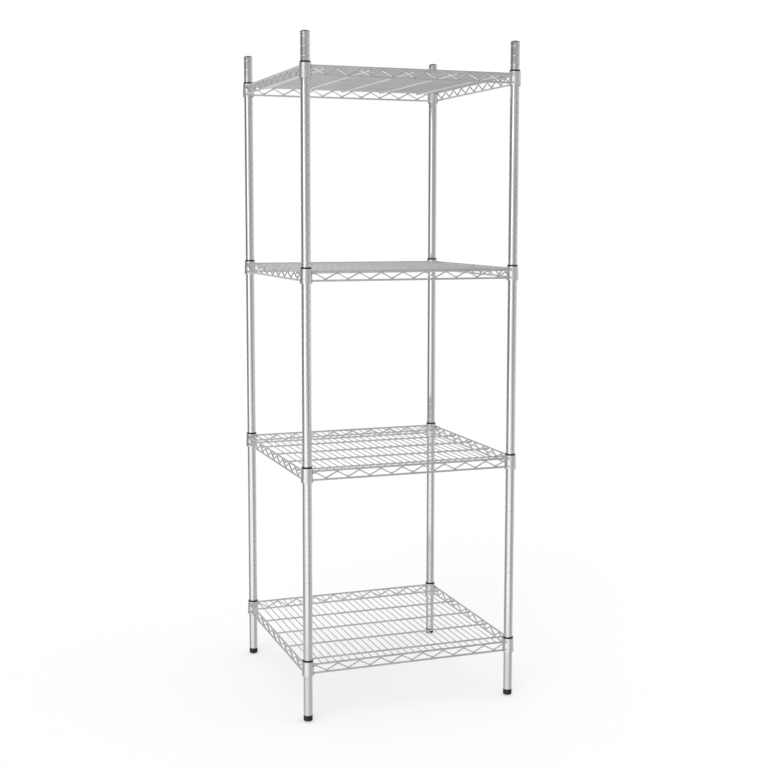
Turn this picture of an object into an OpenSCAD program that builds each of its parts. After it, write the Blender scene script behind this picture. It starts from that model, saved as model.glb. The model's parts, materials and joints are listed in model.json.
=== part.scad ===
/* [Posts] */
// Distance between post centres, left to right
post_span_w = 600; // [450:5:900]
// Distance between post centres, front to back
post_span_d = 600; // [450:5:900]
// Length of each post tube
post_length = 1829; // [1200:1:2200]
// Outer diameter of the post tube
post_d = 25.4; // [24:0.1:27]
// Wall thickness of the post tube
post_wall = 1.2; // [0.9:0.1:1.8]
// Distance between the height grooves rolled into the post
groove_pitch = 25.4; // [25:0.1:25.4]
// Height of the first groove above the lower end of the tube
first_groove = 14; // [10:0.5:20]
// Width of a groove at the surface
groove_w = 2.4; // [1.6:0.1:3]
// Depth of a groove
groove_depth = 0.5; // [0.3:0.05:0.6]

/* [Shelf levels] */
// Groove that holds the bottom shelf, counted from zero
lowest_groove = 5; // [4:1:8]
// Grooves left free above the one that holds the top shelf
spare_grooves = 3; // [2:1:6]

/* [Sleeves and collars] */
// Height of the split sleeve
sleeve_h = 43; // [41:0.5:46]
// Part of the sleeve that shows above the collar
sleeve_show = 4.5; // [3:0.5:6]
// Sleeve wall at its thin upper end
sleeve_wall = 1.65; // [1.3:0.05:2]
// How much the sleeve radius grows from top to bottom
sleeve_taper = 0.9; // [0.5:0.1:1.4]
// Height of the sleeve's top above the groove that its rib sits in
rib_below_top = 13.8; // [8:0.2:24]
// Height of the rib inside the sleeve
rib_w = 1.4; // [1:0.1:1.5]
// Width of each slit between the two sleeve halves
sleeve_slit = 0.6; // [0.3:0.1:1.5]
// Shallow relief rings round the outside of the sleeve
relief_rings = 4; // [2:1:5]
// Width of a relief ring
relief_w = 2; // [1:0.1:3]
// Depth of a relief ring
relief_depth = 0.25; // [0.1:0.05:0.4]
// Height of the shelf collar
collar_h = 39; // [38:0.5:42]
// Collar wall at the upper end
collar_wall = 1.1; // [0.9:0.1:1.6]
// Extra collar wall at the lower end
collar_foot = 0.3; // [0:0.1:0.8]

/* [Side trusses] */
// Diameter of the two rail wires
rail_d = 5.5; // [5:0.1:6]
// Distance between the centres of the upper and lower rail
rail_gap = 24; // [22:0.5:25]
// Upper rail centre below the top of the collar
rail_drop = 7.6; // [6:0.2:9]
// How far the truss stands outside the line between post centres
truss_out = 10; // [9:0.2:10.6]
// Diameter of the zigzag wire
zig_d = 4.2; // [3.6:0.1:4.6]
// Length of one wave of the zigzag wire
zig_pitch = 62.5; // [62:0.5:64]
// Bend radius of the zigzag wire, on its centre line
zig_bend = 8; // [6:0.5:9]

/* [Deck] */
// Diameter of the thin deck wires
deck_d = 3; // [2.6:0.1:3.6]
// Distance between the deck wires
deck_pitch = 20.9; // [20:0.1:24]
// Diameter of the support wires under the deck wires
support_d = 5; // [4.4:0.1:5.4]

/* [Feet and caps] */
// Height of the levelling foot below the post
foot_h = 16.6; // [12:0.1:20]
// Diameter of the levelling foot
foot_d = 25.2; // [24:0.1:27]
// Bevel round the bottom of the foot
foot_bevel = 2.6; // [1:0.1:4]
// Width of the line cut round the middle of the foot
foot_line_w = 1.8; // [1:0.1:3]
// Depth of the line round the foot
foot_line_depth = 0.5; // [0.2:0.1:0.8]
// Diameter of the foot's stem
stem_d = 10; // [8:0.1:11]
// Length of stem above the foot when it is screwed fully in
stem_up = 30; // [26:1:40]
// Ring pitch of the stem, as its thread's crests
stem_pitch = 1.5; // [1.5:0.25:2]
// Length of the insert pressed into the post's lower end
insert_h = 22; // [18:1:25]
// Diameter of the cap on top of the post
cap_d = 26; // [25:0.1:27.4]
// Height of the cap's straight rim
cap_rim = 1.2; // [0.8:0.1:2]
// Height of the cap's dome above its rim
cap_dome = 3.6; // [1.5:0.1:4]
// Length of the cap's plug inside the post
cap_plug = 15; // [10:1:20]

/* [Clearances] */
// Gap left between wires that are welded together
weld_gap = 0.03; // [0.02:0.01:0.08]
// Running gap between a collar and its sleeve, or a stem and its insert
fit_gap = 0.05; // [0.03:0.01:0.08]
// Gap between a piece and what it is pressed on or into
press_gap = 0.02; // [0.01:0.01:0.05]
// Gap where a foot stops against the post
stop_gap = 0.05; // [0.03:0.01:0.1]

/* [Hidden] */
$fn = 48;
chrome = [0.78, 0.79, 0.81];
steel = [0.62, 0.63, 0.65];
black = [0.08, 0.08, 0.09];
grey = [0.45, 0.46, 0.48];

// Posts: radii, and heights of the tube's two ends
post_r = post_d/2;
bore_r = post_r - post_wall;
post_z0 = foot_h;
post_z1 = foot_h + post_length;
least_plain_end = 8;
groove_count = floor((post_length - first_groove - least_plain_end)/groove_pitch) + 1;

// Shelf levels: the shelves share out the grooves from the lowest to the top one in use
top_groove = groove_count - 1 - spare_grooves;
function level_groove(level) = lowest_groove + round((top_groove - lowest_groove)*level/3);

// Height of the top edge of the sleeves at each level
function sleeve_top(level) =
    post_z0 + first_groove + groove_pitch*level_groove(level) + rib_below_top;
z_top = sleeve_top(3);
z_upper = sleeve_top(2);
z_lower = sleeve_top(1);
z_bottom = sleeve_top(0);

// Sleeve and collar radii at a depth t below the top edge of the sleeve
sleeve_r0 = post_r + press_gap + sleeve_wall;
function sleeve_r(t) = sleeve_r0 + sleeve_taper*t/sleeve_h;
function collar_in(t) = sleeve_r(t) + fit_gap;
function collar_out(t) =
    collar_in(t) + collar_wall + collar_foot*(t - sleeve_show)/collar_h;
collar_t0 = sleeve_show;
collar_t1 = sleeve_show + collar_h;
rail_t = sleeve_show + rail_drop;

// Zigzag wire between the rails: the slope follows from its wave, height and bend
zig_h = rail_gap - rail_d - zig_d - 2*weld_gap;
half_wave = zig_pitch/2;
zig_hyp = sqrt(half_wave*half_wave + pow(2*zig_bend - zig_h, 2));
slope = asin(2*zig_bend/zig_hyp) - atan2(2*zig_bend - zig_h, half_wave);
slant = (half_wave - 2*zig_bend*sin(slope))/cos(slope);
lap = 0.4;
lap_d = zig_d - 0.1;
least_zig_end = 17;
function waves(span) = 2*floor((span/2 - least_zig_end)/zig_pitch - 0.5) + 1;

// The rails run on past the collar's outer face, and the collar's outline then cuts them
rail_end = 0.6*post_r;

// Support wires stand above every second low point of the side zigzags
support_pitch = 2*zig_pitch;
least_support_end = 30;
function support_half(span) = floor((span/2 - least_support_end)/support_pitch);
support_dz = -(rail_d + support_d)/2 - weld_gap;
deck_dz = support_dz + (support_d + deck_d)/2 + weld_gap;
function deck_half(across) =
    floor((across/2 - collar_out(rail_t - deck_dz) - deck_d/2 - 0.3)/deck_pitch + 0.5);

// Floor of the hole in the foot that the stem is pressed into
stem_seat = 5;

module at(sx, sy) {
    translate([sx*post_span_w/2, sy*post_span_d/2, 0]) children();
}

module four_corners() {
    for (sx = [-1, 1]) for (sy = [-1, 1]) at(sx, sy) children();
}

// A round tube whose outline carries every groove, turned in one piece
module post() {
    outline = concat(
        [[bore_r, post_z0], [post_r, post_z0]],
        [for (k = [0:groove_count - 1], c = [[0, -0.5], [1, -0.22], [1, 0.22], [0, 0.5]])
            [post_r - c[0]*groove_depth,
             post_z0 + first_groove + k*groove_pitch + c[1]*groove_w]],
        [[post_r, post_z1], [bore_r, post_z1]]);
    color(chrome) rotate_extrude() polygon(outline);
}

// A domed cap with a hollow ribbed plug
module cap() {
    ball_r = (cap_d*cap_d/4 + cap_dome*cap_dome)/(2*cap_dome);
    plug_r = bore_r - press_gap;
    z = post_z1 + press_gap;
    color(grey) {
        translate([0, 0, z]) cylinder(d = cap_d, h = cap_rim);
        translate([0, 0, z + cap_rim - 0.01]) intersection() {
            translate([0, 0, cap_dome - ball_r]) sphere(r = ball_r, $fn = 96);
            cylinder(d = cap_d + 1, h = cap_dome + 1);
        }
        rotate_extrude() polygon([
            [plug_r - 2.4, z + 0.2], [plug_r - 2.4, z - cap_plug],
            [plug_r - 1, z - cap_plug], [plug_r - 0.5, z - cap_plug + 1.5],
            for (k = [2, 1], c = [[-0.5, -1], [0, 0], [-0.5, 1]])
                [plug_r + c[0], z - k*cap_plug*0.27 + c[1]],
            [plug_r - 0.5, z + 0.2]]);
    }
}

// A barbed insert that takes the foot's stem
module insert() {
    r = bore_r - press_gap;
    barb = 0.6;
    barb_pitch = insert_h/4.4;
    color(steel) translate([0, 0, post_z0]) rotate_extrude() polygon([
        [stem_d/2 + fit_gap, barb], [stem_d/2 + fit_gap + barb, 0], [r, 0],
        for (k = [0, 1], c = [[0, 0.8], [barb, 0.88], [0, 1.28]])
            [r - c[0], (k + c[1])*barb_pitch],
        [r, 2.8*barb_pitch], [r - barb, 2.88*barb_pitch],
        [r - barb, insert_h - 1], [r - barb - 1, insert_h],
        [stem_d/2 + fit_gap, insert_h]]);
}

// The foot is a short plastic puck with a blind hole for its stem and a line round it
module foot() {
    top = foot_h - stop_gap;
    line_z = (foot_bevel + top)/2;
    color(black) rotate_extrude() polygon([
        [0, 0], [foot_d/2 - foot_bevel, 0], [foot_d/2 - foot_bevel*0.3, foot_bevel*0.45],
        [foot_d/2, foot_bevel], [foot_d/2, line_z - foot_line_w/2],
        [foot_d/2 - foot_line_depth, line_z], [foot_d/2, line_z + foot_line_w/2],
        [foot_d/2, top - 0.5], [foot_d/2 - 0.5, top],
        [stem_d/2 + press_gap, top], [stem_d/2 + press_gap, stem_seat], [0, stem_seat]]);
}

module stem() {
    z0 = stem_seat + press_gap;
    z1 = foot_h + stem_up;
    first = foot_h + stem_pitch;
    rings = floor((z1 - 2 - first)/stem_pitch);
    r = stem_d/2;
    ring = 0.55;
    chamfer = 1.2;
    outline = concat(
        [[0, z0], [r, z0]],
        [for (k = [0:rings - 1], c = [[0, 0], [ring, 0.4], [ring, 0.6], [0, 1]])
            [r - c[0], first + (k + c[1]*0.9)*stem_pitch]],
        [[r, z1 - chamfer], [r - chamfer, z1], [0, z1]]);
    color(steel) rotate_extrude() polygon(outline);
}

// Two half shells that snap round the post, with a rib that sits in a groove and relief
// rings outside
module sleeve(zt) {
    r = post_r + press_gap;
    zr = zt - rib_below_top;
    rib_in = groove_depth - 2*press_gap;
    gap = asin(sleeve_slit/2/post_r);
    color(black) for (a = [0, 180])
        rotate([0, 0, a]) rotate_extrude(angle = 180 - 2*gap, start = gap) polygon([
            [r, zt - sleeve_h], [sleeve_r(sleeve_h) - 0.4, zt - sleeve_h],
            [sleeve_r(sleeve_h - 0.4), zt - sleeve_h + 0.4],
            for (k = [relief_rings:-1:1], c = [[1, 0], [0.8, 1], [-0.8, 1], [-1, 0]])
                let (t = k*sleeve_h/(relief_rings + 1) + c[0]*relief_w/2)
                    [sleeve_r(t) - c[1]*relief_depth, zt - t],
            [sleeve_r(0.5), zt - 0.5], [sleeve_r(0) - 0.5, zt], [r, zt],
            [r, zr + rib_w/2], [r - rib_in, zr + rib_w/4],
            [r - rib_in, zr - rib_w/4], [r, zr - rib_w/2]]);
}

// A tapered collar that wedges down over its sleeve
module collar(zt) {
    b = 0.4;
    color(chrome) rotate_extrude() polygon([
        [collar_in(collar_t1), zt - collar_t1], [collar_out(collar_t1) - b, zt - collar_t1],
        [collar_out(collar_t1), zt - collar_t1 + b], [collar_out(collar_t0), zt - collar_t0 - b],
        [collar_out(collar_t0) - b, zt - collar_t0], [collar_in(collar_t0), zt - collar_t0]]);
}

// One zigzag wire along x, centred on the origin, between arcs and straight runs
module zigzag(span) {
    n = waves(span);
    reach = collar_out(rail_t + rail_gap/2);
    run_end = span/2 - sqrt(reach*reach - pow(truss_out - zig_d/2, 2)) - 0.1;
    for (i = [0:n]) {
        a0 = i == n ? 90 : 90 - slope;
        a1 = i == 0 ? 90 : 90 + slope;
        translate([(i - n/2)*zig_pitch, 0, zig_h/2 - zig_bend]) rotate([90, 0, 0])
            rotate_extrude(angle = a1 - a0, start = a0)
                translate([zig_bend, 0]) circle(d = zig_d, $fn = 24);
    }
    for (i = [0:n - 1]) {
        x = (i + 0.5 - n/2)*zig_pitch;
        translate([x, 0, zig_bend - zig_h/2]) rotate([90, 0, 0])
            rotate_extrude(angle = 2*slope, start = 270 - slope)
                translate([zig_bend, 0]) circle(d = zig_d, $fn = 24);
        for (s = [-1, 1])
            translate([x + s*half_wave/2, 0, 0]) rotate([0, s*(90 - slope), 0])
                cylinder(d = lap_d, h = slant + 2*lap, center = true, $fn = 24);
    }
    for (s = [-1, 1])
        translate([s*(n/2*zig_pitch - lap), 0, zig_h/2]) rotate([0, s*90, 0])
            cylinder(d = lap_d, h = run_end - n/2*zig_pitch + lap, $fn = 24);
}

// Two rails, coped to the collars they are welded to, and the zigzag between them
module truss(span, zt) {
    z = zt - rail_t;
    color(chrome) {
        difference() {
            for (h = [0, -rail_gap])
                translate([0, 0, z + h]) rotate([0, 90, 0])
                    cylinder(d = rail_d, h = span - 2*rail_end, center = true, $fn = 32);
            for (s = [-1, 1])
                translate([s*span/2, truss_out, zt - collar_t1 - 1])
                    cylinder(r1 = collar_out(collar_t1 + 1) + weld_gap,
                             r2 = collar_out(collar_t0) + weld_gap,
                             h = collar_h + 1, $fn = 96);
        }
        translate([0, 0, z - rail_gap/2]) zigzag(span);
    }
}

module front_truss(zt) {
    translate([0, -post_span_d/2 - truss_out, 0]) truss(post_span_w, zt);
}

module back_truss(zt) {
    translate([0, post_span_d/2 + truss_out, 0]) rotate([0, 0, 180]) truss(post_span_w, zt);
}

module left_truss(zt) {
    translate([-post_span_w/2 - truss_out, 0, 0]) rotate([0, 0, -90]) truss(post_span_d, zt);
}

module right_truss(zt) {
    translate([post_span_w/2 + truss_out, 0, 0]) rotate([0, 0, 90]) truss(post_span_d, zt);
}

// Wires along y under the deck, out to the outer face of the rails that rest on them
module support_wires(span_along, span_across, zt) {
    n = support_half(span_across);
    color(chrome) for (i = [-n:n])
        translate([i*support_pitch, 0, zt - rail_t + support_dz]) rotate([90, 0, 0])
            cylinder(d = support_d, h = span_along + 2*truss_out + rail_d, center = true, $fn = 32);
}

// Thin wires along y on top of the supports, butted against the rails
module deck_wires(span_along, span_across, zt) {
    n = deck_half(span_across);
    reach = span_along + 2*truss_out - rail_d - 2*weld_gap;
    color(chrome) for (i = [-n:n - 1])
        translate([(i + 0.5)*deck_pitch, 0, zt - rail_t + deck_dz]) rotate([90, 0, 0])
            cylinder(d = deck_d, h = reach, center = true, $fn = 24);
}

// The lower three shelves have deck wires from front to back, and the top one, turned
// a quarter round, from left to right
module support_turned(zt) support_wires(post_span_d, post_span_w, zt);
module deck_turned(zt) rotate([0, 0, 90]) deck_wires(post_span_w, post_span_d, zt);
module support_straight(zt) rotate([0, 0, 90]) support_wires(post_span_w, post_span_d, zt);
module deck_straight(zt) deck_wires(post_span_d, post_span_w, zt);

at(-1, -1) post();  // post_front_left
at(1, -1) post();  // post_front_right
at(-1, 1) post();  // post_back_left
at(1, 1) post();  // post_back_right
at(-1, -1) cap();  // cap_front_left
at(1, -1) cap();  // cap_front_right
at(-1, 1) cap();  // cap_back_left
at(1, 1) cap();  // cap_back_right
at(-1, -1) insert();  // insert_front_left
at(1, -1) insert();  // insert_front_right
at(-1, 1) insert();  // insert_back_left
at(1, 1) insert();  // insert_back_right
at(-1, -1) foot();  // foot_front_left
at(1, -1) foot();  // foot_front_right
at(-1, 1) foot();  // foot_back_left
at(1, 1) foot();  // foot_back_right
at(-1, -1) stem();  // stem_front_left
at(1, -1) stem();  // stem_front_right
at(-1, 1) stem();  // stem_back_left
at(1, 1) stem();  // stem_back_right
four_corners() sleeve(z_top);  // sleeves_top
four_corners() sleeve(z_upper);  // sleeves_upper
four_corners() sleeve(z_lower);  // sleeves_lower
four_corners() sleeve(z_bottom);  // sleeves_bottom
four_corners() collar(z_top);  // collars_top
four_corners() collar(z_upper);  // collars_upper
four_corners() collar(z_lower);  // collars_lower
four_corners() collar(z_bottom);  // collars_bottom
front_truss(z_top);  // front_truss_top
front_truss(z_upper);  // front_truss_upper
front_truss(z_lower);  // front_truss_lower
front_truss(z_bottom);  // front_truss_bottom
back_truss(z_top);  // back_truss_top
back_truss(z_upper);  // back_truss_upper
back_truss(z_lower);  // back_truss_lower
back_truss(z_bottom);  // back_truss_bottom
left_truss(z_top);  // left_truss_top
left_truss(z_upper);  // left_truss_upper
left_truss(z_lower);  // left_truss_lower
left_truss(z_bottom);  // left_truss_bottom
right_truss(z_top);  // right_truss_top
right_truss(z_upper);  // right_truss_upper
right_truss(z_lower);  // right_truss_lower
right_truss(z_bottom);  // right_truss_bottom
support_turned(z_top);  // support_wires_top
support_straight(z_upper);  // support_wires_upper
support_straight(z_lower);  // support_wires_lower
support_straight(z_bottom);  // support_wires_bottom
deck_turned(z_top);  // deck_wires_top
deck_straight(z_upper);  // deck_wires_upper
deck_straight(z_lower);  // deck_wires_lower
deck_straight(z_bottom);  // deck_wires_bottom
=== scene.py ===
"""Looks of the wire shelving unit: finishes, weld metal, threads, studio and camera."""

import json
import math
import random

import bmesh
import bpy
from mathutils import Matrix, Vector


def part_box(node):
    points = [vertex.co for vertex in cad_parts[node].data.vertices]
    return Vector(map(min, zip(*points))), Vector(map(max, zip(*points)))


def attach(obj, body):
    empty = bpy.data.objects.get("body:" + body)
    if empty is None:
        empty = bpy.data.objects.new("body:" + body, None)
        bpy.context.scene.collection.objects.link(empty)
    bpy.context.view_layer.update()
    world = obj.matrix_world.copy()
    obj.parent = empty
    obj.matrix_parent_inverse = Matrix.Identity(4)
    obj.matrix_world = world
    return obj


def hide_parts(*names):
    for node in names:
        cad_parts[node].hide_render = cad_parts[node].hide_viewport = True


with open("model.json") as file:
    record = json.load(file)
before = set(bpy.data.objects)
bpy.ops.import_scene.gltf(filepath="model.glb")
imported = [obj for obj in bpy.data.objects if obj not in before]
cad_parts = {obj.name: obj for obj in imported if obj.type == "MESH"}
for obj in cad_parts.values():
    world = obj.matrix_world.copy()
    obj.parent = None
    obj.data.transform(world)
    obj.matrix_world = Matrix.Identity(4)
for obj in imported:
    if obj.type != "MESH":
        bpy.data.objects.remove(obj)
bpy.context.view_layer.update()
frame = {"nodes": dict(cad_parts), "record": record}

MM = 0.001
MM_PER_METRE = 1000.0
CORNERS = {"front_left": (-1, -1), "front_right": (1, -1), "back_left": (-1, 1), "back_right": (1, 1)}
LEVELS = ("top", "upper", "lower", "bottom")


# Sizes of the CAD nodes at rest
def corners_mm(node):
    """The lowest and the highest corner of a node's box, in millimetres."""
    low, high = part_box(node)
    return [value * MM_PER_METRE for value in low], [value * MM_PER_METRE for value in high]


def middle(node, axis):
    low, high = corners_mm(node)
    return (low[axis] + high[axis]) / 2


def extent(node, axis):
    low, high = corners_mm(node)
    return high[axis] - low[axis]


# Posts and sleeves, in millimetres
SLEEVE_TOPS = {level: corners_mm("sleeves_" + level)[1][2] for level in LEVELS}
HALF_SPAN = middle("post_front_right", 0)
POST_FROM = corners_mm("post_front_right")[0][2]
FIRST_GROOVE = 14.0
GROOVE_PITCH = 25.4
GROOVE_WIDE = 2.4

# Trusses, in millimetres. Depths count down from the top edge of the sleeves
TRUSS_LINE = -middle("front_truss_bottom", 1)
RAIL_R = extent("front_truss_bottom", 1) / 2
RAIL_GAP = extent("front_truss_bottom", 2) - 2 * RAIL_R
RAIL_DEPTH = SLEEVE_TOPS["bottom"] - corners_mm("front_truss_bottom")[1][2] + RAIL_R
ZIG_R = 2.1
ZIG_WAVES = 9
WELD_GAP = 0.03

# Support wires and deck wires
SUPPORT_R = extent("support_wires_bottom", 2) / 2
SUPPORT_DEPTH = SLEEVE_TOPS["bottom"] - middle("support_wires_bottom", 2)
SUPPORTS = 5
SUPPORT_PITCH = (extent("support_wires_bottom", 1) - 2 * SUPPORT_R) / (SUPPORTS - 1)
ZIG_PITCH = SUPPORT_PITCH / 2
DECK_R = extent("deck_wires_bottom", 2) / 2
DECK_DEPTH = SLEEVE_TOPS["bottom"] - middle("deck_wires_bottom", 2)
DECK_WIRES = 28
DECK_PITCH = (extent("deck_wires_bottom", 0) - 2 * DECK_R) / (DECK_WIRES - 1)

# Collars, whose radius grows by the taper from the top to the lower edge
COLLAR_HIGH = extent("collars_bottom", 2)
COLLAR_TO = SLEEVE_TOPS["bottom"] - corners_mm("collars_bottom")[0][2]
COLLAR_FOOT_R = corners_mm("collars_bottom")[1][0] - HALF_SPAN
COLLAR_TAPER = 1.116

# Weld metal. Each weld has its own size, drawn from the range of its kind
WELD_SEED = 11
DECK_WELD_SIZES = (0.88, 1.12)
RAIL_WELD_SIZES = (0.95, 1.1)
BUTT_WELD_SIZES = (0.92, 1.08)
CONTACT_WELD_SIZES = (0.85, 1.15)
# Half length along the rail of the metal at a bend of the zigzag
CONTACT_WELD_HALF = 4.6
# The collar's face is never taken nearer to the post's axis than this
LEAST_COLLAR_FACE = 3.0
OVAL_POINTS = 12
COLLAR_WELD_POINTS = 16

# Levelling stems and their threads
FOOT_TOP = corners_mm("foot_front_left")[1][2]
STEM_FROM, STEM_TO = (corner[2] for corner in corners_mm("stem_front_left"))
THREAD_R = extent("stem_front_left", 0) / 2
THREAD_DEEP = 0.58
THREAD_PITCH = 1.5
THREAD_POINTS = 36
THREAD_ROWS_PER_TURN = 8
THREAD_RUN_IN = 0.4
THREAD_SHARE_AT_TIP = 0.3
THREAD_CREST = 0.3
THREAD_FLANK = 3.2
# Rings of the lower end as height and radius, and of the tip as distances down and inward
STEM_END = ((0.03, 4.4), (0.03, 4.75))
STEM_BEVEL = 0.3
STEM_TIP = ((1.1, 0.35), (0.1, 1.3))


# Objects and meshes
def link(name, data):
    """Puts an object with this data into the scene."""
    made = bpy.data.objects.new(name, data)
    bpy.context.scene.collection.objects.link(made)
    return made


def mesh_from(name, bm, smooth=True):
    mesh = bpy.data.meshes.new(name)
    bm.to_mesh(mesh)
    bm.free()
    for face in mesh.polygons:
        face.use_smooth = smooth
    return mesh


# Camera: the photograph's place and angle, and the pixel row that its axis meets
IMAGE_SIDE = 768
FOCAL_PIXELS = 1319.0
AXIS_PIXEL_Y = 361.0
CAMERA_PLACE = Vector((-1.2952, -3.6427, 1.3739))
CAMERA_YAW = math.radians(19.963)
CAMERA_PITCH = math.radians(-6.298)
CAMERA_ROLL = math.radians(0.102)
SENSOR = 36.0


def make_camera():
    """The photograph's view: turned to the right by the yaw, then up by the pitch, then rolled."""
    data = bpy.data.cameras.new("photo_camera")
    data.sensor_width = SENSOR
    data.lens = FOCAL_PIXELS * SENSOR / IMAGE_SIDE
    data.shift_y = (AXIS_PIXEL_Y - IMAGE_SIDE / 2) / IMAGE_SIDE
    camera = link("photo_camera", data)
    level = Vector((math.sin(CAMERA_YAW), math.cos(CAMERA_YAW), 0))
    ahead = level * math.cos(CAMERA_PITCH) + Vector((0, 0, math.sin(CAMERA_PITCH)))
    side = Vector((math.cos(CAMERA_YAW), -math.sin(CAMERA_YAW), 0))
    above = side.cross(ahead)
    right = side * math.cos(CAMERA_ROLL) + above * math.sin(CAMERA_ROLL)
    up = above * math.cos(CAMERA_ROLL) - side * math.sin(CAMERA_ROLL)
    turn = Matrix((right, up, -ahead)).transposed()
    camera.matrix_world = Matrix.Translation(CAMERA_PLACE) @ turn.to_4x4()
    bpy.context.scene.camera = camera


# Nodes of a material or world
NOISE_DETAIL = 3.0
NOISE_RANGE = (0.3, 0.7)


def add(tree, kind, inputs=None, **settings):
    """Adds a node. inputs holds numbers, colours or the sockets to link, by name or number."""
    made = tree.nodes.new(kind)
    for name, value in settings.items():
        setattr(made, name, value)
    for name, value in (inputs or {}).items():
        if isinstance(value, bpy.types.NodeSocket):
            tree.links.new(value, made.inputs[name])
        else:
            made.inputs[name].default_value = value
    return made


def empty_tree(holder):
    holder.use_nodes = True
    holder.node_tree.nodes.clear()
    return holder.node_tree


def math_node(tree, operation, first, second):
    return add(tree, "ShaderNodeMath", {0: first, 1: second}, operation=operation).outputs[0]


def spread(tree, value, low, high):
    """Carries a 0 to 1 value to the range from low to high."""
    return add(tree, "ShaderNodeMapRange", {"Value": value, "To Min": low, "To Max": high}).outputs[0]


def smooth_range(tree, value, low, high, at_low=0.0):
    """Goes smoothly from at_low to 1 while value goes from low to high."""
    sockets = {"Value": value, "From Min": low, "From Max": high, "To Min": at_low}
    return add(tree, "ShaderNodeMapRange", sockets, interpolation_type="SMOOTHSTEP").outputs[0]


def mixed(tree, share, first, second):
    """Blends two numbers, which are sockets 2 and 3 of a Mix node."""
    return add(tree, "ShaderNodeMix", {0: share, 2: first, 3: second}).outputs[0]


def mixed_colours(tree, share, first, second):
    """Blends two colours, which are sockets 6 and 7 of a Mix node."""
    return add(tree, "ShaderNodeMix", {0: share, 6: first, 7: second}, data_type="RGBA").outputs[2]


def noise(tree, scale, stretch):
    """Noise over the piece's own coordinates, in metres, with an own scale along each axis."""
    place = add(tree, "ShaderNodeTexCoord").outputs["Object"]
    mapped = add(tree, "ShaderNodeMapping", {"Vector": place, "Scale": stretch}).outputs[0]
    sockets = {"Vector": mapped, "Scale": scale, "Detail": NOISE_DETAIL}
    return add(tree, "ShaderNodeTexNoise", sockets).outputs[0]


def two_colours(tree, value, first, second):
    """Goes from the first colour to the second over the values that noise mostly has."""
    ramp = add(tree, "ShaderNodeValToRGB", {"Fac": value})
    start, end = ramp.color_ramp.elements
    start.position, end.position = NOISE_RANGE
    start.color, end.color = (*first, 1), (*second, 1)
    return ramp.outputs[0]


def height_mm(tree):
    """Height on the object in millimetres, from the piece's own coordinates at rest."""
    place = add(tree, "ShaderNodeTexCoord").outputs["Object"]
    z = add(tree, "ShaderNodeSeparateXYZ", {0: place}).outputs["Z"]
    return math_node(tree, "MULTIPLY", z, MM_PER_METRE)


# Painted shade in the grooves of the posts, and wear on the feet, each with the scale and stretch of
# its noise and the values between which it sets in
EVEN = (1, 1, 1)
LENGTHWISE = (1, 1, 0.02)
GROOVE_SHADE_NOISE = (70.0, (1, 1, 0.3))
GROOVE_SHADE_SETS_IN = (0.35, 0.7)
LEAST_GROOVE_SHADE = 0.25
# Distances from a groove's middle beyond which there is no painted shade, and within which it is full
GROOVE_SHADE_WIDTHS = (0.5 * GROOVE_WIDE, 0.2 * GROOVE_WIDE)
SCUFF_NOISE = (260.0, EVEN)
SCUFF_SETS_IN = (0.42, 0.6)
# Heights in millimetres above which there are no scuffs, and below which they are full
SCUFF_HEIGHTS = (4.5, 1.0)


def groove_shade(tree):
    """1 in the grooves of the posts, 0 between them, broken up by noise: the places where shade is
    painted into the grooves.
    """
    from_groove = math_node(tree, "SUBTRACT", height_mm(tree), POST_FROM + FIRST_GROOVE)
    off = math_node(tree, "PINGPONG", from_groove, GROOVE_PITCH / 2)
    inside = smooth_range(tree, off, *GROOVE_SHADE_WIDTHS)
    patches = smooth_range(tree, noise(tree, *GROOVE_SHADE_NOISE), *GROOVE_SHADE_SETS_IN, at_low=LEAST_GROOVE_SHADE)
    return math_node(tree, "MULTIPLY", inside, patches)


def scuffs(tree):
    """1 on the scuffed lowest edge of the feet, 0 above it."""
    low = smooth_range(tree, height_mm(tree), *SCUFF_HEIGHTS)
    patches = smooth_range(tree, noise(tree, *SCUFF_NOISE), *SCUFF_SETS_IN)
    return math_node(tree, "MULTIPLY", low, patches)


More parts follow.
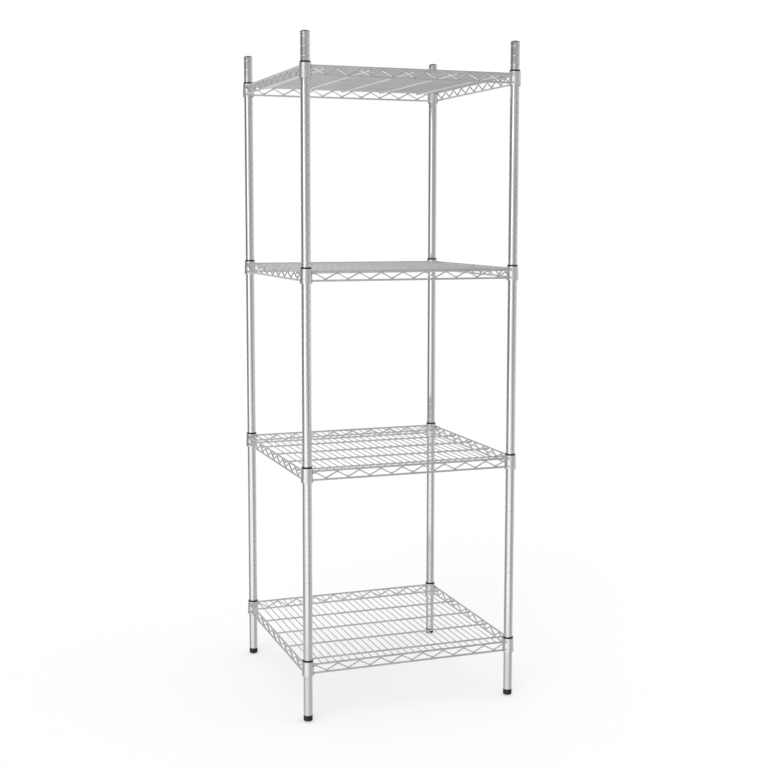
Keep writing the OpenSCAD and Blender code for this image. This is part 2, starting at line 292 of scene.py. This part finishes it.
# Finishes: one for each slot of the record, and one each for the collars and the weld metal
METAL = {"Metallic": 1.0}
PLASTIC = {"Metallic": 0.0, "Specular IOR Level": 0.35}
FINISHES = {
    "chrome_tube": {
        "colours": ((0.72, 0.705, 0.722), (0.79, 0.775, 0.792)), "drift": (9.0, (1, 1, 0.3)),
        "roughness": (0.05, 0.12), "roughness_drift": (30.0, (1, 1, 0.4)),
        "grain": (900.0, LENGTHWISE), "grain_depth": 0.00002, "constants": METAL,
        # The darker second colour in the grooves is painted shade; the higher roughness there is real
        # haze
        "wear_and_shade": groove_shade, "wear_and_shade_colour": (0.69, 0.672, 0.675), "wear_and_shade_roughness": 0.2,
    },
    "chrome_collar": {
        "colours": ((0.74, 0.725, 0.742), (0.80, 0.785, 0.802)), "drift": (40.0, EVEN),
        "roughness": (0.26, 0.36), "roughness_drift": (120.0, EVEN),
        "grain": (1400.0, EVEN), "grain_depth": 0.00003, "constants": METAL,
    },
    "chrome_wire": {
        "colours": ((0.66, 0.647, 0.662), (0.75, 0.737, 0.752)), "drift": (14.0, EVEN),
        "roughness": (0.08, 0.2), "roughness_drift": (60.0, EVEN),
        "grain": (1200.0, EVEN), "grain_depth": 0.00003, "constants": METAL,
    },
    "chrome_weld": {
        "colours": ((0.52, 0.508, 0.512), (0.70, 0.686, 0.70)), "drift": (240.0, EVEN),
        "roughness": (0.2, 0.42), "roughness_drift": (300.0, EVEN),
        "grain": (1500.0, EVEN), "grain_depth": 0.00008, "constants": METAL,
    },
    "zinc_steel": {
        "colours": ((0.50, 0.50, 0.50), (0.62, 0.62, 0.63)), "drift": (60.0, EVEN),
        "roughness": (0.25, 0.42), "roughness_drift": (200.0, EVEN),
        "grain": (2500.0, (0.1, 0.1, 1)), "grain_depth": 0.00003, "constants": METAL,
    },
    "black_plastic": {
        "colours": ((0.010, 0.009, 0.010), (0.019, 0.018, 0.020)), "drift": (80.0, EVEN),
        "roughness": (0.32, 0.48), "roughness_drift": (120.0, EVEN),
        "grain": (3000.0, EVEN), "grain_depth": 0.00004, "constants": PLASTIC,
        "wear_and_shade": scuffs, "wear_and_shade_colour": (0.06, 0.057, 0.056), "wear_and_shade_roughness": 0.7,
    },
    "grey_plastic": {
        "colours": ((0.085, 0.084, 0.086), (0.115, 0.113, 0.117)), "drift": (90.0, EVEN),
        "roughness": (0.42, 0.54), "roughness_drift": (150.0, EVEN),
        "grain": (3500.0, EVEN), "grain_depth": 0.00003, "constants": PLASTIC,
    },
}


def surface(name, colours, drift, roughness, roughness_drift, grain, grain_depth, constants,
            wear_and_shade=None, wear_and_shade_colour=None, wear_and_shade_roughness=None):
    """A finish whose colour and roughness drift slowly and whose grain stands in the bump.

    drift, roughness_drift and grain are (scale, stretch) pairs of noise. The optional mask function
    picks the places that take a second colour and roughness: real wear on the feet, and painted shade
    in the grooves of the posts, where the rise of roughness is real haze."""
    material = bpy.data.materials.new(name)
    tree = empty_tree(material)
    colour = two_colours(tree, noise(tree, *drift), *colours)
    rough = spread(tree, noise(tree, *roughness_drift), *roughness)
    if wear_and_shade:
        mask = wear_and_shade(tree)
        # The mixed-in colour is painted shade in the grooves of the posts and real wear on the feet
        colour = mixed_colours(tree, mask, colour, (*wear_and_shade_colour, 1))
        rough = mixed(tree, mask, rough, wear_and_shade_roughness)
    bump = add(tree, "ShaderNodeBump", {
        "Strength": 1.0, "Distance": grain_depth, "Height": noise(tree, *grain)}).outputs[0]
    shader = add(tree, "ShaderNodeBsdfPrincipled", {
        "Base Color": colour, "Roughness": rough, "Normal": bump, **constants})
    add(tree, "ShaderNodeOutputMaterial", {"Surface": shader.outputs[0]})
    return material


def dress(finishes):
    """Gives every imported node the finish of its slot, and the collars their more satin one."""
    for part in frame["record"]["subparts"]:
        piece = frame["nodes"][part["node"]]
        is_collar = part["node"].startswith("collars_")
        piece.data.materials.clear()
        piece.data.materials.append(finishes["chrome_collar" if is_collar else part["material_slot"]])


# Small pieces: weld metal between the wires, and the threads of the feet
def circle_angles(count):
    return [2 * math.pi * k / count for k in range(count)]


def oval(place, first, second, reach_u, reach_v):
    """Points of an oval round place, spread along two unit vectors."""
    points = []
    for angle in circle_angles(OVAL_POINTS):
        u, v = reach_u * math.cos(angle), reach_v * math.sin(angle)
        points.append(tuple(place[i] + u * first[i] + v * second[i] for i in range(3)))
    return points


def stack(bm, rings, turn=0.0):
    """Joins rings of points in millimetres, turned about the z axis, and closes both ends."""
    c, s = math.cos(turn), math.sin(turn)
    made = []
    for ring in rings:
        made.append([bm.verts.new(((x * c - y * s) * MM, (x * s + y * c) * MM, z * MM))
                     for x, y, z in ring])
    count = len(made[0])
    for low, high in zip(made, made[1:]):
        for k in range(count):
            n = (k + 1) % count
            bm.faces.new((low[k], low[n], high[n], high[k]))
    bm.faces.new(made[0])
    bm.faces.new(made[-1])


def cross_weld(bm, x, y, contact, low_r, high_r, turn, size):
    """Metal drawn up between two crossed wires, the lower along x and the upper along y."""
    waist = 0.4 * (low_r + high_r)
    # Height from the contact, half length along x, half length along y
    profile = (
        (-0.56 * low_r, 1.36 * low_r * size, 0.86 * low_r),
        (-0.20 * low_r, 0.92 * low_r * size, 0.76 * low_r),
        (0.0, waist, waist),
        (0.30 * high_r, 0.97 * high_r, 1.45 * high_r * size),
        (0.74 * high_r, 0.84 * high_r, 2.05 * high_r * size),
    )
    stack(bm, [oval((x, y, contact + rise), (1, 0, 0), (0, 1, 0), along_x, along_y)
               for rise, along_x, along_y in profile], turn)


def butt_weld(bm, x, side, depth_z, turn, size):
    """Fillet where the end of a deck wire along y meets the inner side of a rail."""
    # Distance inward from the rail's centre, rise, half width, half height, and whether size counts
    profile = (
        (5.6, 0.0, 1.42, 1.42, False), (4.3, 0.02, 1.6, 1.6, False), (3.4, 0.15, 1.95, 1.85, True),
        (2.6, 0.4, 2.3, 1.95, True), (1.4, 0.75, 2.2, 1.7, True),
    )
    rings = []
    for inward, rise, wide, high, grows in profile:
        place = (x, side * (TRUSS_LINE - inward), depth_z + rise)
        grown = size if grows else 1.0
        rings.append(oval(place, (1, 0, 0), (0, 0, 1), wide * grown, high))
    stack(bm, rings, turn)


def contact_weld(bm, x, contact, upward, turn, size):
    """Metal in the two grooves where a bend of the zigzag wire lies along a rail."""
    # Points round the section: across the rail, and from the contact towards the rail
    section = ((1.3, 0.0), (1.5, 0.55), (1.65, 1.1), (0.8, 1.7), (-0.8, 1.7), (-1.65, 1.1),
               (-1.5, 0.55), (-1.3, 0.0), (-1.4, -0.5), (-1.45, -0.9), (-0.7, -1.4),
               (0.7, -1.4), (1.45, -0.9), (1.4, -0.5))
    # Share of the half length, and the section's scale there
    stations = ((-1, 0.35), (-0.75, 0.8), (-0.35, 1.0), (0.35, 1.0), (0.75, 0.8), (1, 0.35))
    rings = []
    for share, scale in stations:
        along = x + CONTACT_WELD_HALF * share * size
        rings.append([(along, -TRUSS_LINE + y * scale, contact + upward * z * scale)
                      for y, z in section])
    stack(bm, rings, turn)


def collar_radius(depth):
    return COLLAR_FOOT_R - COLLAR_TAPER * (COLLAR_TO - depth) / COLLAR_HIGH


def collar_weld(bm, end, top, depth, wire_r, turn):
    """Fillet round a wire of the front truss where it meets the collar at one end."""
    reach_r = collar_radius(depth)
    # Distance out from the collar's face and radius, both in radii of the wire
    profile = ((1.3, 0.97), (0.78, 1.05), (0.4, 1.17), (0.1, 1.36), (-0.15, 1.5))
    rings = []
    for out, grow in profile:
        ring = []
        for angle in circle_angles(COLLAR_WELD_POINTS):
            y = -TRUSS_LINE + wire_r * grow * math.cos(angle)
            z = top - depth + wire_r * grow * math.sin(angle)
            face = math.sqrt(max(reach_r ** 2 - (y + HALF_SPAN) ** 2, LEAST_COLLAR_FACE ** 2))
            ring.append((end * (HALF_SPAN - face - out * wire_r), y, z))
        rings.append(ring)
    stack(bm, rings, turn)


def finish_piece(name, bm):
    """Turns the faces outward and makes a piece of them."""
    bmesh.ops.recalc_face_normals(bm, faces=bm.faces)
    return link(name, mesh_from(name, bm))


def make_welds(level):
    """All the weld metal of one shelf as one piece."""
    bm = bmesh.new()
    chance = random.Random(LEVELS.index(level) + WELD_SEED)
    top = SLEEVE_TOPS[level]
    # The top shelf is turned a quarter round
    turn = math.pi / 2 if level == "top" else 0.0
    supports = [(k - (SUPPORTS - 1) / 2) * SUPPORT_PITCH for k in range(SUPPORTS)]
    wires = [(k + 0.5 - DECK_WIRES / 2) * DECK_PITCH for k in range(DECK_WIRES)]
    on_support = top - SUPPORT_DEPTH + SUPPORT_R + WELD_GAP / 2
    for y in supports:
        for x in wires:
            size = chance.uniform(*DECK_WELD_SIZES)
            cross_weld(bm, x, y, on_support, SUPPORT_R, DECK_R, turn, size)
        for end in (-1, 1):
            size = chance.uniform(*RAIL_WELD_SIZES)
            cross_weld(bm, end * TRUSS_LINE, y, on_support, SUPPORT_R, RAIL_R, turn, size)
    for x in wires:
        for side in (-1, 1):
            butt_weld(bm, x, side, top - DECK_DEPTH, turn, chance.uniform(*BUTT_WELD_SIZES))
    peaks = [(k - ZIG_WAVES / 2) * ZIG_PITCH for k in range(ZIG_WAVES + 1)]
    high = top - RAIL_DEPTH - RAIL_R - WELD_GAP / 2
    low = top - RAIL_DEPTH - RAIL_GAP + RAIL_R + WELD_GAP / 2
    for quarter in range(4):
        around = quarter * math.pi / 2
        for x in peaks:
            contact_weld(bm, x, high, 1, around, chance.uniform(*CONTACT_WELD_SIZES))
        for x in peaks[:-1]:
            contact_weld(bm, x + ZIG_PITCH / 2, low, -1, around, chance.uniform(*CONTACT_WELD_SIZES))
        for end in (-1, 1):
            collar_weld(bm, end, top, RAIL_DEPTH, RAIL_R, around)
            collar_weld(bm, end, top, RAIL_DEPTH + RAIL_GAP, RAIL_R, around)
            collar_weld(bm, end, top, RAIL_DEPTH + RAIL_R + ZIG_R + WELD_GAP, ZIG_R, around)
    return finish_piece("welds_" + level, bm)


def stem_profile():
    """Height, radius and share of the thread's depth at each ring of a stem, from below."""
    start, stop = FOOT_TOP + THREAD_PITCH, STEM_TO - THREAD_PITCH
    rows = round((stop - start) / THREAD_PITCH * THREAD_ROWS_PER_TURN)
    profile = [(STEM_FROM + up, r, 0) for up, r in STEM_END]
    profile += [(STEM_FROM + STEM_BEVEL, THREAD_R, 0), (start - THREAD_RUN_IN, THREAD_R, 0)]
    for row in range(rows + 1):
        z = start + (stop - start) * row / rows
        runs_in = row / THREAD_ROWS_PER_TURN
        runs_out = (rows - row) / THREAD_ROWS_PER_TURN + THREAD_SHARE_AT_TIP
        profile.append((z, THREAD_R, min(1.0, runs_in, runs_out)))
    profile += [(STEM_TO - down, THREAD_R - inward, 0) for down, inward in STEM_TIP]
    return profile


def make_thread(corner):
    """A levelling stem with its helical thread."""
    bm = bmesh.new()
    cx, cy = (sign * HALF_SPAN for sign in CORNERS[corner])
    rings = []
    for z, r, fade in stem_profile():
        ring = []
        for k, angle in enumerate(circle_angles(THREAD_POINTS)):
            share = (z / THREAD_PITCH - k / THREAD_POINTS) % 1.0
            # Flat crest, flat root and two flanks
            ridge = min(1.0, max(0.0, abs(share - 0.5) * THREAD_FLANK - THREAD_CREST))
            reach = r - THREAD_DEEP * fade * ridge
            ring.append((cx + reach * math.cos(angle), cy + reach * math.sin(angle), z))
        rings.append(ring)
    stack(bm, rings)
    return finish_piece("thread_" + corner, bm)


def make_details(finishes):
    for level in LEVELS:
        welds = make_welds(level)
        welds.data.materials.append(finishes["chrome_weld"])
        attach(welds, "shelf_" + level)
    for corner in CORNERS:
        thread = make_thread(corner)
        thread.data.materials.append(finishes["zinc_steel"])
        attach(thread, "levelling_" + corner)
        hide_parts("stem_" + corner)


# Studio: floor, world and lamps
FLOOR_REACH = 40.0
FLOOR_Z = -0.002
FLOOR_WHITE = 0.62
FLOOR_TOP_UP = 0.395
WORLD_LEVEL = 0.62
BACKDROP_LEVEL = 1.0
# Name, direction towards the lamp, apparent width in degrees, strength
LAMPS = (
    ("key_light", (-0.62, -0.75, 1.1), 34, 0.62),
    ("fill_light", (0.85, -0.4, 0.75), 50, 0.24),
    ("top_light", (0.05, 0.1, 1.0), 60, 0.55),
)
LAMP_DISTANCE = 4
# Brightness that reflections see by the angle round the object from the camera, positive to
# the picture's left. One curve for each band of height, from straight down to the ceiling.
NADIR_LIGHT = (
    (-180, 0.85), (-154, 0.80), (-119, 0.50), (-93, 0.40), (-61, 0.60), (-42, 0.45), (0, 0.75),
    (18, 1.80), (35, 2.60), (75, 2.60), (88, 1.30), (119, 1.05), (150, 0.90), (180, 0.85),
)
UNDER_LIGHT = (
    (-180, 0.80), (-150, 0.65), (-135, 0.45), (-120, 0.10), (-100, 0.03), (-75, 0.05), (-60, 0.45),
    (-47, 0.80), (-32, 1.50), (-10, 2.10), (30, 2.10), (48, 1.50), (70, 1.20), (88, 1.10), (102, 0.34),
    (117, 0.40), (135, 0.48), (180, 0.80),
)
FLOOR_LIGHT = (
    (-180, 0.95), (-165, 0.90), (-145, 0.66), (-112, 0.66), (-92, 0.58), (-78, 0.50), (-50, 0.56),
    (-24, 0.72), (0, 0.84), (36, 0.93), (50, 0.88), (63, 0.74), (78, 0.62), (95, 0.54), (128, 0.60),
    (146, 0.88), (158, 0.94), (180, 0.95),
)
SWEEP_LIGHT = (
    (-180, 0.95), (-165, 0.90), (-145, 0.68), (-112, 0.70), (-92, 0.64), (-78, 0.55), (-62, 0.46),
    (-50, 0.44), (-36, 0.52), (-24, 0.76), (-12, 1.10), (0, 1.25), (12, 1.22), (36, 1.25), (50, 1.02),
    (63, 0.74), (78, 0.46), (95, 0.33), (128, 0.40), (146, 0.84), (158, 0.94), (180, 0.95),
)
MIDDLE_LIGHT = (
    (-180, 0.77), (-150, 0.76), (-112, 0.74), (-92, 0.74), (-77, 0.70), (-63, 0.56), (-49, 0.44),
    (-36, 0.37), (-24, 0.43), (-12, 0.58), (0, 0.78), (12, 0.88), (23, 1.22), (30, 1.90), (42, 1.90),
    (49, 1.15), (60, 0.54), (74, 0.37), (92, 0.22), (128, 0.29), (145, 0.65), (158, 0.75), (180, 0.77),
)
WALL_LIGHT = (
    (-180, 0.72), (-150, 0.72), (-112, 0.72), (-92, 0.64), (-60, 0.52), (-45, 0.44), (-28, 0.44),
    (-14, 0.52), (0, 0.60), (16, 0.72), (23, 1.15), (29, 2.10), (42, 2.10), (49, 1.20), (60, 0.50),
    (74, 0.34), (92, 0.20), (128, 0.26), (145, 0.60), (158, 0.70), (180, 0.72),
)
HIGH_LIGHT = (
    (-180, 0.74), (-150, 0.72), (-112, 0.72), (-92, 0.64), (-60, 0.52), (-45, 0.44), (-30, 0.42),
    (0, 0.44), (16, 0.40), (23, 0.26), (29, 0.20), (42, 0.20), (49, 0.22), (60, 0.30), (74, 0.28),
    (92, 0.22), (128, 0.26), (145, 0.60), (158, 0.72), (180, 0.74),
)
SLOPE_LIGHT = (
    (-180, 0.62), (-165, 0.66), (-150, 0.72), (-112, 0.72), (-92, 0.64), (-60, 0.52), (-45, 0.44),
    (-28, 0.44), (-14, 0.52), (0, 0.60), (16, 0.72), (36, 0.90), (60, 0.60), (74, 0.48), (92, 0.48),
    (108, 0.80), (132, 0.82), (146, 0.60), (158, 0.60), (180, 0.62),
)
ROOF_LIGHT = (
    (-180, 0.55), (-150, 0.50), (-135, 0.45), (-120, 0.12), (-92, 0.06), (-80, 0.35), (-61, 0.60),
    (-45, 0.90), (-33, 1.15), (0, 1.25), (35, 1.20), (61, 1.10), (92, 1.15), (101, 0.45), (116, 0.32),
    (145, 0.44), (180, 0.55),
)
# Above NADIR_LIGHT each curve takes over from the last one between two heights of the
# direction, where -1 is straight down and 1 straight up. ZENITH_LIGHT comes last of all.
LIGHT_BANDS = (
    (-0.92, -0.86, UNDER_LIGHT), (-0.58, -0.45, FLOOR_LIGHT), (-0.33, -0.285, SWEEP_LIGHT),
    (-0.22, -0.10, MIDDLE_LIGHT), (-0.03, 0.005, WALL_LIGHT), (0.098, 0.107, HIGH_LIGHT),
    (0.131, 0.140, WALL_LIGHT), (0.16, 0.26, SLOPE_LIGHT), (0.50, 0.72, ROOF_LIGHT),
)
ZENITH_LIGHT = 0.62
ZENITH_BAND = (0.93, 0.98)


def seen_ray(tree):
    """1 where a camera, glossy or transmission ray arrives, else 0."""
    path = add(tree, "ShaderNodeLightPath").outputs
    either = math_node(tree, "MAXIMUM", path["Is Camera Ray"], path["Is Glossy Ray"])
    return math_node(tree, "MAXIMUM", either, path["Is Transmission Ray"])


def make_floor():
    """A pale floor that shadows fall on, topped up where it is seen so that it shows white."""
    bm = bmesh.new()
    corners = [(-1, -1), (1, -1), (1, 1), (-1, 1)]
    bm.faces.new([bm.verts.new((x * FLOOR_REACH, y * FLOOR_REACH, FLOOR_Z)) for x, y in corners])
    floor = link("studio_floor", mesh_from("studio_floor", bm, smooth=False))
    material = bpy.data.materials.new("studio_floor")
    tree = empty_tree(material)
    lit = add(tree, "ShaderNodeBsdfDiffuse", {"Color": (FLOOR_WHITE, FLOOR_WHITE, FLOOR_WHITE, 1)})
    top_up = add(tree, "ShaderNodeEmission", {
        "Color": (1, 1, 1, 1), "Strength": math_node(tree, "MULTIPLY", seen_ray(tree), FLOOR_TOP_UP)})
    both = add(tree, "ShaderNodeAddShader", {0: lit.outputs[0], 1: top_up.outputs[0]})
    add(tree, "ShaderNodeOutputMaterial", {"Surface": both.outputs[0]})
    floor.data.materials.append(material)
    # Reflections take the floor's brightness from the world
    floor.visible_glossy = False


def make_world():
    """White to the camera, the light curves to reflections, and an even level to the rest."""
    world = bpy.data.worlds.new("studio_world")
    bpy.context.scene.world = world
    tree = empty_tree(world)
    path = add(tree, "ShaderNodeLightPath").outputs
    shown = math_node(tree, "MAXIMUM", path["Is Camera Ray"], path["Is Transmission Ray"])
    plain = spread(tree, shown, WORLD_LEVEL, BACKDROP_LEVEL)
    strength = mixed(tree, path["Is Glossy Ray"], plain, studio_light(tree))
    background = add(tree, "ShaderNodeBackground", {"Color": (1, 1, 1, 1), "Strength": strength})
    add(tree, "ShaderNodeOutputWorld", {"Surface": background.outputs[0]})


def light_curve(tree, share, lights):
    """Brightness by angle, where share runs from 0 to 1 over the full turn."""
    top = max(light for _, light in lights)
    ramp = add(tree, "ShaderNodeFloatCurve", {"Value": share})
    curve = ramp.mapping.curves[0]
    for index, (degrees, light) in enumerate(lights):
        spot = (degrees / 360 + 0.5, light / top)
        # A new curve has two points already
        if index < 2:
            curve.points[index].location = spot
        else:
            curve.points.new(*spot)
    for point in curve.points:
        point.handle_type = "VECTOR"
    ramp.mapping.update()
    return math_node(tree, "MULTIPLY", ramp.outputs[0], top)


def studio_light(tree):
    """What reflections see by direction: the light curves, layered from below upwards."""
    way = add(tree, "ShaderNodeTexCoord").outputs["Generated"]
    # Turned so that the angle is 0 towards the camera's side and grows to the picture's left
    towards = math.atan2(CAMERA_PLACE.y, CAMERA_PLACE.x)
    turned = add(tree, "ShaderNodeVectorRotate", {
        "Vector": way, "Axis": (0, 0, 1), "Angle": -towards}, rotation_type="AXIS_ANGLE").outputs[0]
    axes = add(tree, "ShaderNodeSeparateXYZ", {0: turned}).outputs
    angle = math_node(tree, "ARCTAN2", math_node(tree, "MULTIPLY", axes["Y"], -1.0), axes["X"])
    share = math_node(tree, "ADD", math_node(tree, "DIVIDE", angle, 2 * math.pi), 0.5)
    tone = light_curve(tree, share, NADIR_LIGHT)
    for low, high, lights in LIGHT_BANDS:
        band = light_curve(tree, share, lights)
        tone = mixed(tree, smooth_range(tree, axes["Z"], low, high), tone, band)
    return mixed(tree, smooth_range(tree, axes["Z"], *ZENITH_BAND), tone, ZENITH_LIGHT)


def make_lamp(name, aim, apparent_width, strength):
    """A soft, distant lamp, so that the floor is lit evenly. aim points at the lamp."""
    data = bpy.data.lights.new(name, "SUN")
    data.angle = math.radians(apparent_width)
    data.energy = strength
    lamp = link(name, data)
    lamp.location = Vector(aim) * LAMP_DISTANCE
    lamp.rotation_euler = Vector(aim).to_track_quat("Z", "Y").to_euler()
    lamp.visible_glossy = False
    lamp.visible_camera = False


make_camera()
make_world()
make_floor()
for lamp_settings in LAMPS:
    make_lamp(*lamp_settings)
finishes = {name: surface(name, **settings) for name, settings in FINISHES.items()}
dress(finishes)
make_details(finishes)

bpy.context.scene.view_settings.view_transform = "Standard"
